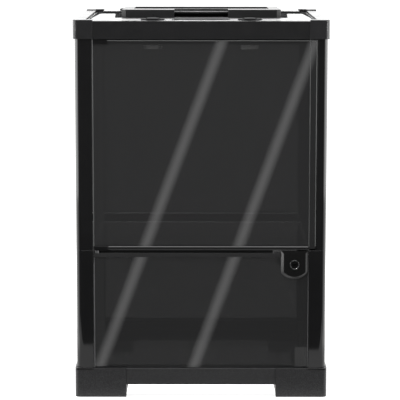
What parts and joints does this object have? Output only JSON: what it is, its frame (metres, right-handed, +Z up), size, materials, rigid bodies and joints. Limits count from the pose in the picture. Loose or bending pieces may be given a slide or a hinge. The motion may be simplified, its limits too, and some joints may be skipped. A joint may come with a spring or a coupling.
{
  "type": "reptile terrarium",
  "caption": "Tall glazed terrarium: smoked panes in a black post frame, hinged front door with a key lock over a fixed pane, and a ventilated lift-off lid with a feeding hatch.",
  "frame": {"origin": "on the table, under the middle of the cabinet", "axes": "+Z up, the door and the lock face -Y, the door's hinges are at -X"},
  "size_m": [0.21, 0.21, 0.3203],
  "materials": {
    "base_plastic": "fine-grained satin black",
    "foot_plastic": "fine-grained satin black",
    "post_plastic": "polished black",
    "top_plastic": "smooth satin black",
    "smoked_glass": "smoked, polished",
    "lock_plastic": "polished black",
    "lid_plastic": "glossy black",
    "knob_plastic": "satin black",
    "pad_rubber": "ribbed, matt grey",
    "mesh_metal": "black coated",
    "steel": "plain"
  },
  "bodies": {
    "cabinet": {"base_frame": "base_plastic", "foot_front_left": "foot_plastic", "foot_front_right": "foot_plastic", "foot_rear_left": "foot_plastic", "foot_rear_right": "foot_plastic", "foot_screws": "steel", "floor_pane": "smoked_glass", "lower_post_front_left": "post_plastic", "lower_post_front_right": "post_plastic", "lower_post_rear_left": "post_plastic", "lower_post_rear_right": "post_plastic", "upper_post_front_left": "post_plastic", "upper_post_front_right": "post_plastic", "upper_post_rear_left": "post_plastic", "upper_post_rear_right": "post_plastic", "lower_pane_front": "smoked_glass", "lower_pane_right": "smoked_glass", "lower_pane_rear": "smoked_glass", "lower_pane_left": "smoked_glass", "upper_pane_right": "smoked_glass", "upper_pane_rear": "smoked_glass", "upper_pane_left": "smoked_glass", "vent_rail": "base_plastic", "middle_rail_right": "post_plastic", "middle_rail_rear": "post_plastic", "middle_rail_left": "post_plastic", "top_rail_front": "top_plastic", "top_rail_right": "top_plastic", "top_rail_rear": "top_plastic", "top_rail_left": "top_plastic", "top_corner_front_left": "top_plastic", "top_corner_front_right": "top_plastic", "top_corner_rear_left": "top_plastic", "top_corner_rear_right": "top_plastic", "hinge_bush_top": "steel", "hinge_bush_bottom": "steel", "lock_plate": "lock_plastic", "lock_nut": "steel"},
    "door": {"door_pane": "smoked_glass", "door_hinge_top": "post_plastic", "door_hinge_bottom": "post_plastic", "door_bar": "post_plastic"},
    "lock": {"lock_barrel": "steel", "lock_cam": "steel"},
    "lid": {"lid_frame": "lid_plastic", "lid_mesh": "mesh_metal", "thumb_pad": "pad_rubber", "hatch_pins": "steel"},
    "hatch": {"hatch_frame": "lid_plastic", "hatch_mesh": "mesh_metal"},
    "lid_lock_front_left": {"knob_front_left": "knob_plastic", "tongue_front_left": "knob_plastic"},
    "lid_lock_front_right": {"knob_front_right": "knob_plastic", "tongue_front_right": "knob_plastic"},
    "lid_lock_rear_left": {"knob_rear_left": "knob_plastic", "tongue_rear_left": "knob_plastic"},
    "lid_lock_rear_right": {"knob_rear_right": "knob_plastic", "tongue_rear_right": "knob_plastic"},
    "plug_outer": {"inlet_plug_outer": "knob_plastic"},
    "plug_inner": {"inlet_plug_inner": "knob_plastic"}
  },
  "joints": [
    {"name": "door_hinge", "type": "hinge", "parent": "cabinet", "child": "door", "pos_m": [-0.0866, -0.1015, 0.2114], "axis": [0, 0, -1], "range_deg": [0, 105]},
    {"name": "lock_turn", "type": "hinge", "parent": "cabinet", "child": "lock", "pos_m": [0.07755, -0.0966, 0.1122], "axis": [0, 1, 0], "range_deg": [0, 90]},
    {"name": "lid_lift", "type": "slide", "parent": "cabinet", "child": "lid", "axis": [0, 0, 1], "range_m": [0, 0.06]},
    {"name": "hatch_hinge", "type": "hinge", "parent": "lid", "child": "hatch", "pos_m": [0, 0.0525, 0.3152], "axis": [-1, 0, 0], "range_deg": [0, 100]},
    {"name": "lid_lock_front_left_turn", "type": "hinge", "parent": "lid", "child": "lid_lock_front_left", "pos_m": [-0.04, -0.0855, 0.3135], "axis": [0, 0, 1], "range_deg": [0, 90]},
    {"name": "lid_lock_front_right_turn", "type": "hinge", "parent": "lid", "child": "lid_lock_front_right", "pos_m": [0.04, -0.0855, 0.3135], "axis": [0, 0, 1], "range_deg": [0, 90]},
    {"name": "lid_lock_rear_left_turn", "type": "hinge", "parent": "lid", "child": "lid_lock_rear_left", "pos_m": [-0.04, 0.0855, 0.3135], "axis": [0, 0, 1], "range_deg": [0, 90]},
    {"name": "lid_lock_rear_right_turn", "type": "hinge", "parent": "lid", "child": "lid_lock_rear_right", "pos_m": [0.04, 0.0855, 0.3135], "axis": [0, 0, 1], "range_deg": [0, 90]},
    {"name": "plug_outer_pull", "type": "slide", "parent": "lid", "child": "plug_outer", "axis": [0, 0, 1], "range_m": [0, 0.012]},
    {"name": "plug_inner_pull", "type": "slide", "parent": "lid", "child": "plug_inner", "axis": [0, 0, 1], "range_m": [0, 0.012]}
  ]
}
